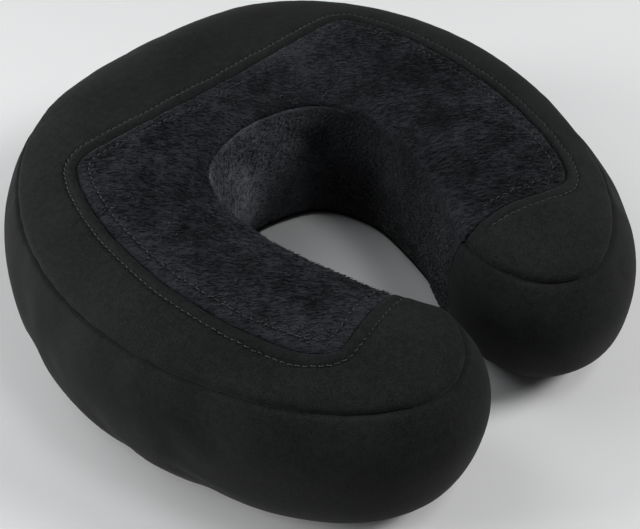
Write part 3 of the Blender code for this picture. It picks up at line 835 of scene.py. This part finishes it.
def makeWall(name, stations, heights, material, node, slotCut=False):
    grid = wallPoints(stations, heights, 0.15 * mm)
    rows, cols = grid.shape[:2]
    flat = grid.reshape(-1, 3)
    keep = np.ones((rows - 1, cols - 1), bool)
    if slotCut:
        dz = np.maximum(walls["slotLow"] - flat[:, 2], flat[:, 2] - walls["slotHigh"])
        dx = abs(flat[:, 0]) - walls["slotHalfWidth"]
        away = np.hypot(np.maximum(dz, 0), np.maximum(dx, 0))
        rear = flat[:, 1] > 95 * mm
        push = np.where(rear, walls["hemDepth"] * np.exp(-(away / (1.3 * mm)) ** 2), 0)
        normals = np.tile(seamNormal[stations], (rows, 1))
        flat[:, :2] -= normals * push[:, None]
        middle = (np.array(heights[1:]) + np.array(heights[:-1])) / 2
        x = flat.reshape(rows, cols, 3)[0, :, 0]
        y = flat.reshape(rows, cols, 3)[0, :, 1]
        between = (x[1:] + x[:-1]) / 2
        inRow = (middle > walls["slotLow"]) & (middle < walls["slotHigh"])
        inCol = (abs(between) < walls["slotHalfWidth"]) & (y[1:] > 95 * mm)
        keep[np.ix_(inRow, inCol)] = False
    faces = []
    for r in range(rows - 1):
        for c in range(cols - 1):
            if keep[r, c]:
                a = r * cols + c
                faces.append([a, a + cols, a + cols + 1, a + 1])
    verts = settle(flat, faces)
    along = np.concatenate([[0], np.cumsum(np.linalg.norm(np.diff(seam[stations], axis=0),
                                                          axis=1))])
    uv = np.column_stack([np.tile(along, rows), np.repeat(heights, cols)])
    used = sorted({i for f in faces for i in f})
    new = {old: k for k, old in enumerate(used)}
    obj = meshObject(name, verts[used], [[new[i] for i in f] for f in faces], uv[used])
    thicken(obj, walls["cloth"])
    return finishPiece(obj, material, [node])


lowRows = [d * mm for d in (4.4, 4.7, 5.2, 6.0, 7.2)]
highRows = [d * mm for d in (79.5, 81, 82, 82.7, 83.2, 83.6, 84)]
bandRows = (rowHeights(lowRows, 1) [:-1]
            + rowHeights([7.2 * mm, 16.4 * mm], walls["rowStep"])[:-1]
            + [d * mm for d in (16.4, 17.6, 18.3, 18.8, 20.4, 22.2, 24, 25.8, 27.6, 29.2, 29.7)]
            + rowHeights([30.4 * mm, 31.6 * mm, 79.5 * mm], walls["rowStep"])[:-1] + highRows)
sideBand = makeWall("coverSideBand", bandStations, bandRows, knitCloth, "cover_side_band",
                    True)
innerRows = (rowHeights(lowRows, 1)[:-1] + rowHeights([7.2 * mm, 79.5 * mm], 1.7 * mm)[:-1]
             + highRows)
innerWall = makeWall("coverInnerWall", innerStations, innerRows, plushWall, "cover_inner_wall")

# Base panel, with its edge turned up to the lower seam.
basePanel = {
    "turn": [(3.0, 1.8), (1.4, 1.85), (0.5, 2.2), (0.1, 2.8), (0.0, 3.4), (0.6, 3.9), (2.4, 4.0)],
    "spacing": 9 * mm,
}


def loftedPiece(name, rings, capSpacing, domed=False):
    # closed body of rings with a filled cap at each end
    n = len(rings[0])
    verts = [np.asarray(r) for r in rings]
    faces = []
    for r in range(len(rings) - 1):
        for i in range(n):
            j = (i + 1) % n
            faces.append([r * n + i, (r + 1) * n + i, (r + 1) * n + j, r * n + j])
    for end, start in ((0, 0), (-1, (len(rings) - 1) * n)):
        loop = rings[end][:, :2]
        points, fill = filled(loop, [], capSpacing, capSpacing * 0.5)
        offset = sum(len(v) for v in verts) - n
        z = np.full(len(points) - n, rings[end][:, 2].mean())
        if domed and end == -1:
            z = domeHeight(points[n:]) - foam["belowTop"]
        verts.append(np.column_stack([points[n:], z]))
        number = [start + i if i < n else offset + i for i in range(len(points))]
        faces += [[number[i] for i in (reversed(f) if end == 0 else f)] for f in fill]
    verts = np.vstack(verts)
    obj = meshObject(name, verts, faces, verts[:, :2])
    return obj


def ringAt(inset, height, every=1):
    ring = wall(height, inset)[::every]
    return np.column_stack([ring, np.full(len(ring), height)])


baseObj = loftedPiece("coverBasePanel", [ringAt(i * mm, z * mm, 2) for i, z in basePanel["turn"]],
                      basePanel["spacing"])
finishPiece(baseObj, knitCloth, ["cover_base_panel"])

# Foam core: a firm block with a softer layer on it, drawn in behind the zip.
foam = {
    "inset": 4.2 * mm,
    "behindZip": 6.6 * mm,
    "belowTop": 3.8 * mm,
    "splitZ": 48 * mm,
    "round": 1.5 * mm,      # how far its long edges are rounded off
    "spacing": 7 * mm,
}
baseFoamLook = plainMaterial("firmFoam", (0.50, 0.50, 0.45), (0.66, 0.66, 0.60), 900, 0.9,
                             0.5 * mm, {"Specular IOR Level": 0.15})
softFoamLook = plainMaterial("memoryFoam", (0.68, 0.62, 0.46), (0.80, 0.75, 0.60), 500, 0.85,
                             0.3 * mm, {"Specular IOR Level": 0.15})


def foamRing(height, extra=0.0):
    ring = ringAt(foam["inset"] + extra, height, 3)
    deep = ringAt(foam["behindZip"] + extra, height, 3)
    x = np.clip((86 * mm - abs(ring[:, 0])) / (10 * mm), 0, 1)
    z = np.clip((height - 6 * mm) / (3 * mm), 0, 1) * np.clip((43 * mm - height) / (3 * mm), 0, 1)
    share = (x * z * (ring[:, 1] > 95 * mm))[:, None]
    return ring * (1 - share) + deep * share


def makeFoam():
    r = foam["round"]
    low, split = 4.6 * mm, foam["splitZ"]
    heights = [low, low + 0.4 * r, low + r] + list(np.linspace(8 * mm, split - 2 * r, 12))
    rings = [foamRing(z, r * max(0, 1 - (z - low) / r) ** 2) for z in heights]
    rings += [foamRing(split - r, 0), foamRing(split - 0.3 * r, 0.3 * r), foamRing(split, r)]
    block = loftedPiece("foamBaseBlock", rings, foam["spacing"])
    finishPiece(block, baseFoamLook, ["foam_base_block"])
    start = split + 0.4 * mm
    rings = [foamRing(start, r), foamRing(start + 0.3 * r, 0.3 * r), foamRing(start + r, 0)]
    rings += [foamRing(z) for z in np.linspace(start + 2 * r, 78 * mm, 9)]
    for inset in (0.0, 1.5, 3.5, 6.0):
        ring = foamRing(form["seamZ"], inset * mm)
        rings.append(np.column_stack([ring[:, :2], domeHeight(ring[:, :2]) - foam["belowTop"]]))
    layer = loftedPiece("memoryFoamTopper", rings, foam["spacing"], domed=True)
    finishPiece(layer, softFoamLook, ["memory_foam_topper"])


makeFoam()

# Stitching: one stitch is shaped, then laid along each sewn line.
thread = {
    "radius": 0.33 * mm,
    "length": 2.7 * mm,
    "pitch": 3.35 * mm,
    "arch": 0.28 * mm,
}


def makeStitch():
    # short thread that rises from the cloth and dives back into it
    deselectAll()
    bpy.ops.mesh.primitive_cylinder_add(vertices=6, radius=thread["radius"],
                                        depth=thread["length"], rotation=(0, math.pi / 2, 0))
    obj = bpy.context.active_object
    bpy.ops.object.transform_apply(location=True, rotation=True, scale=True)
    bpy.ops.object.mode_set(mode="EDIT")
    for share in (-0.36, -0.12, 0.12, 0.36):
        bpy.ops.mesh.select_all(action="SELECT")
        bpy.ops.mesh.bisect(plane_co=(share * thread["length"], 0, 0), plane_no=(1, 0, 0))
    bpy.ops.object.mode_set(mode="OBJECT")
    mesh = obj.data
    co = np.array([v.co for v in mesh.vertices])
    t = co[:, 0] / (thread["length"] / 2)
    thin = np.where(abs(t) > 0.9, 0.55, 1.0)
    co[:, 1:] *= thin[:, None]
    co[:, 2] += thread["arch"] - 2.6 * thread["arch"] * t ** 2
    faces = [tuple(p.vertices) for p in mesh.polygons]
    bpy.data.objects.remove(obj, do_unlink=True)
    return co, faces


stitchPoints, stitchFaces = makeStitch()


def surfaceTree(*objs):
    verts, faces = [], []
    for obj in objs:
        offset = len(verts)
        verts += [v.co.copy() for v in obj.data.vertices]
        faces += [[offset + i for i in p.vertices] for p in obj.data.polygons]
    return BVHTree.FromPolygons(verts, faces)


def layStitches(name, places, lift, wobble, scale=1.0):
    # places: point on the cloth, direction, surface normal
    verts, faces = [], []
    for point, direction, normal in places:
        point, direction, normal = (np.array(v, float) for v in (point, direction, normal))
        side = np.cross(normal, direction)
        side /= np.linalg.norm(side)
        along = np.cross(side, normal)
        turn = rng.normal(0, wobble)
        along, side = (along * math.cos(turn) + side * math.sin(turn),
                       side * math.cos(turn) - along * math.sin(turn))
        size = scale * (1 + rng.normal(0, 0.05))
        local = stitchPoints * size
        rise = lift + rng.normal(0, 0.04 * mm)
        placed = (point + local[:, :1] * along + local[:, 1:2] * side
                  + (local[:, 2:] + rise) * normal)
        faces += [[len(verts) + i for i in f] for f in stitchFaces]
        verts += list(placed)
    obj = meshObject(name, verts, faces)
    return finishPiece(obj, threadFinish)


def topRow(path, tree, pitch):
    line = resampled(path, pitch)
    direction = np.gradient(line, axis=0)
    places = []
    for p, d in zip(line, direction):
        hit = tree.ray_cast(Vector((p[0], p[1], 0.2)), Vector((0, 0, -1)))
        if hit[0] is not None:
            places.append((hit[0], (d[0], d[1], 0.0), hit[1]))
    return places


borderTree, faceTree = surfaceTree(topBorder), surfaceTree(facePanel)
outerRow = topRow(stripPath(0.0)[2:-2], borderTree, thread["pitch"])
layStitches("topstitchOuter", outerRow, 0.16 * mm, 0.10)
innerRow = topRow(stripPath(2 * stripWidth)[4:-4], faceTree, thread["pitch"] * 1.1)
layStitches("topstitchInner", innerRow, 0.35 * mm, 0.22, 1.05)

# Two rows hold the zip's tape, above and below the slot, with a short bar at each end.
zipRows = {
    "away": 2.6 * mm,
    "halfLength": 66 * mm,
    "barStep": 2.9 * mm,
}


def zipRowPlaces(tree):
    low, high = walls["slotLow"] - zipRows["away"], walls["slotHigh"] + zipRows["away"]
    half, pitch = zipRows["halfLength"], thread["pitch"]
    spots = [(x, z, True) for z in (low, high) for x in np.arange(-half, half + pitch / 2, pitch)]
    spots += [(x, z, False) for x in (-half, half)
              for z in np.arange(low + pitch, high - pitch / 2, zipRows["barStep"])]
    places = []
    for x, z, level in spots:
        hit = tree.ray_cast(Vector((x, 0.3, z)), Vector((0, -1, 0)))
        if hit[0] is not None:
            places.append((hit[0], (-hit[1].y, hit[1].x, 0) if level else (0, 0, 1), hit[1]))
    return places


layStitches("topstitchZip", zipRowPlaces(surfaceTree(sideBand)), 0.12 * mm, 0.06, 0.9)

# Pile: short tapered tufts that lie along the nap, rooted in the plush.
pile = {
    "faceCount": 9500,
    "wallCount": 8500,
    "length": 3.4 * mm,
    "width": 0.34 * mm,
    "lift": 0.55 * mm,
    "spread": 0.38,         # how far the tufts turn from the nap, in radians
    "turned": -42.85,       # direction of the nap on top, in degrees from X
    "drift": 0.5,           # how far that direction wanders, in radians
    "shortWithin": 4.0 * mm,  # shorter next to the border and the hole's rim
}


def outerFaces(obj, facing):
    # outer faces of a thickened panel: centre, normal, area and the first loop's UV
    mesh = obj.data
    count = len(mesh.polygons)
    centre, normal, area = np.zeros(count * 3), np.zeros(count * 3), np.zeros(count)
    first = np.zeros(count, np.int32)
    mesh.polygons.foreach_get("center", centre)
    mesh.polygons.foreach_get("normal", normal)
    mesh.polygons.foreach_get("area", area)
    mesh.polygons.foreach_get("loop_start", first)
    centre, normal = centre.reshape(-1, 3), normal.reshape(-1, 3)
    uv = np.zeros(len(mesh.loops) * 2, np.float32)
    mesh.uv_layers["cloth"].data.foreach_get("uv", uv)
    keep = facing(centre, normal) & (area > 0)
    return centre[keep], normal[keep], area[keep], uv.reshape(-1, 2)[first[keep]]


def growPile(name, obj, count, facing, nap, look, node):
    centre, normal, area, uv = outerFaces(obj, facing)
    chosen = rng.choice(len(centre), count, p=area / area.sum())
    p, n, t = centre[chosen], normal[chosen], nap(centre[chosen])
    p = p + rng.normal(0, 0.35 * mm, p.shape)
    p = p - n * ((p - centre[chosen]) * n).sum(1)[:, None]
    t = t - n * (t * n).sum(1)[:, None]
    t /= np.linalg.norm(t, axis=1)[:, None]
    side = np.cross(n, t)
    turn = rng.normal(0, pile["spread"], count)[:, None]
    t, side = t * np.cos(turn) + side * np.sin(turn), side * np.cos(turn) - t * np.sin(turn)
    long = (pile["length"] * rng.uniform(0.6, 1.25, count))[:, None]
    near, _ = nearestOnPath(p[:, :2], faceEdge, False)
    rim = np.maximum(nearestOnPath(p[:, :2], seam, True)[0], form["seamZ"] - p[:, 2])
    long = long * np.clip(np.minimum(near, rim) / pile["shortWithin"], 0.3, 1.0)[:, None]
    lift = (pile["lift"] * rng.uniform(0.5, 1.5, count))[:, None]
    bend = rng.normal(0, 0.12, count)[:, None]
    rings = []
    for share, rise, width in ((0.0, -0.35, 1.0), (0.5, 0.75, 0.8)):
        middle = p + t * long * share + n * lift * rise + side * long * bend * share ** 2
        for angle in (90, 210, 330):
            a = math.radians(angle)
            rings.append(middle + (side * math.cos(a) + n * math.sin(a) * 0.6)
                         * pile["width"] * width)
    tip = p + t * long + n * lift * 0.9 + side * long * bend
    verts = np.stack(rings + [tip], 1).reshape(-1, 3)
    shape = [(0, 1, 4, 3), (1, 2, 5, 4), (2, 0, 3, 5), (3, 4, 6), (4, 5, 6), (5, 3, 6), (0, 2, 1)]
    faces = [[7 * k + i for i in f] for k in range(count) for f in shape]
    tufts = meshObject(name, verts, faces, np.repeat(uv[chosen], 7, axis=0))
    deselectAll()
    tufts.select_set(True)
    bpy.context.view_layer.objects.active = tufts
    bpy.ops.object.mode_set(mode="EDIT")
    bpy.ops.mesh.select_all(action="SELECT")
    bpy.ops.mesh.normals_make_consistent(inside=False)
    bpy.ops.object.mode_set(mode="OBJECT")
    return finishPiece(tufts, look, [node])


def topNap(points):
    # the pile of the top was stroked across, with slow turns in its lie
    turn = pile["drift"] * np.sin(points[:, 0] * 31 + 1.0) * np.cos(points[:, 1] * 24) - 0.05
    base = math.radians(pile["turned"])
    return np.column_stack([np.cos(base + turn), np.sin(base + turn), np.zeros(len(points))])


def wallNap(points):
    # the hole's pile runs round it and a little downwards, more so towards +X
    _, station = nearestOnPath(points[:, :2], seam, True)
    along = np.column_stack([-seamNormal[station, 1], seamNormal[station, 0]])
    dip = 0.15 + 0.6 * np.clip(points[:, 0] / (45 * mm), 0, 1)
    return np.column_stack([-along, -dip])


growPile("pileFacePanel", facePanel, pile["faceCount"],
         lambda c, n: n[:, 2] > 0.25, topNap, plushTop, "cover_face_panel")
growPile("pileInnerWall", innerWall, pile["wallCount"],
         lambda c, n: (n[:, 0] * c[:, 0] + n[:, 1] * (c[:, 1] + 20 * mm) < 0)
         & (abs(n[:, 2]) < 0.8), wallNap, plushWall, "cover_inner_wall")

# Camera, floor and lights.
studio = {
    "cameraPlace": (-0.2603, -0.2913, 0.4386),
    "cameraTurn": (42.475, 0.0, -42.847),
    "lens": 58.2,
    "shiftX": -0.0065,
    "floorSize": 2.6,
    "worldStrength": 0.09,
    "backdrop": 0.9,
    "floorDark": (0.62, 0.62, 0.62),
    "floorLight": (0.66, 0.66, 0.66),
}


# name, place, what it points at, size, power, colour
lights = [
    ("softAbove", (-0.45, 0.6, 0.95), (0, 0, 0.05), (1.0, 1.0), 6, (0.95, 0.98, 1.0)),
    ("sideLeft", (-1.05, 0.7, 0.4), (0, 0, 0.05), (0.5, 0.9), 17, (1.0, 1.0, 1.0)),
    ("highRight", (0.95, -0.85, 1.05), (-0.03, 0.02, 0.05), (0.5, 0.5), 20, (1.0, 1.0, 1.0)),
    ("overHole", (0.2, -0.40, 1.15), (0, 0.02, 0.04), (0.3, 0.3), 3, (0.97, 0.98, 1.0)),
]


def makeCamera():
    data = bpy.data.cameras.new("camera")
    data.lens, data.sensor_width, data.shift_x = studio["lens"], 36.0, studio["shiftX"]
    data.clip_start, data.clip_end = 0.02, 20.0
    camera = bpy.data.objects.new("camera", data)
    camera.location = studio["cameraPlace"]
    camera.rotation_euler = [math.radians(a) for a in studio["cameraTurn"]]
    bpy.context.scene.collection.objects.link(camera)
    bpy.context.scene.camera = camera


def makeFloor():
    deselectAll()
    bpy.ops.mesh.primitive_plane_add(size=studio["floorSize"], location=(0, 0, 0))
    floor = bpy.context.active_object
    floor.name = "studioFloor"
    made, shader, start = startMaterial("paleFloor", {"Roughness": 0.8, "Specular IOR Level": 0.1})
    connect(made, shader,
            colour=mixed(noise(start, 3, 2), studio["floorDark"], studio["floorLight"]))
    floor.data.materials.append(made)


def makeLight(name, place, target, size, power, colour):
    data = bpy.data.lights.new(name, "AREA")
    data.shape, data.size, data.size_y, data.energy = "RECTANGLE", size[0], size[1], power
    data.color = colour
    light = bpy.data.objects.new(name, data)
    light.location = place
    light.rotation_euler = (Vector(target) - Vector(place)).to_track_quat("-Z", "Y").to_euler()
    bpy.context.scene.collection.objects.link(light)


def makeWorld():
    world = bpy.data.worlds.new("studioWorld")
    world.use_nodes = True
    # what the camera sees stays pale, what lights the cushion is dimmer
    tree = world.node_tree
    background = tree.nodes["Background"]
    background.inputs["Color"].default_value = (1.0, 1.0, 1.0, 1)
    path = tree.nodes.new("ShaderNodeLightPath")
    strength = Socket(tree, path.outputs["Is Camera Ray"])
    strength = strength * (studio["backdrop"] - studio["worldStrength"]) + studio["worldStrength"]
    tree.links.new(strength.out, background.inputs["Strength"])
    bpy.context.scene.world = world


makeCamera()
makeFloor()
makeWorld()
for light in lights:
    makeLight(*light)
bpy.context.scene.view_settings.view_transform = "Standard"
print("studio ready")
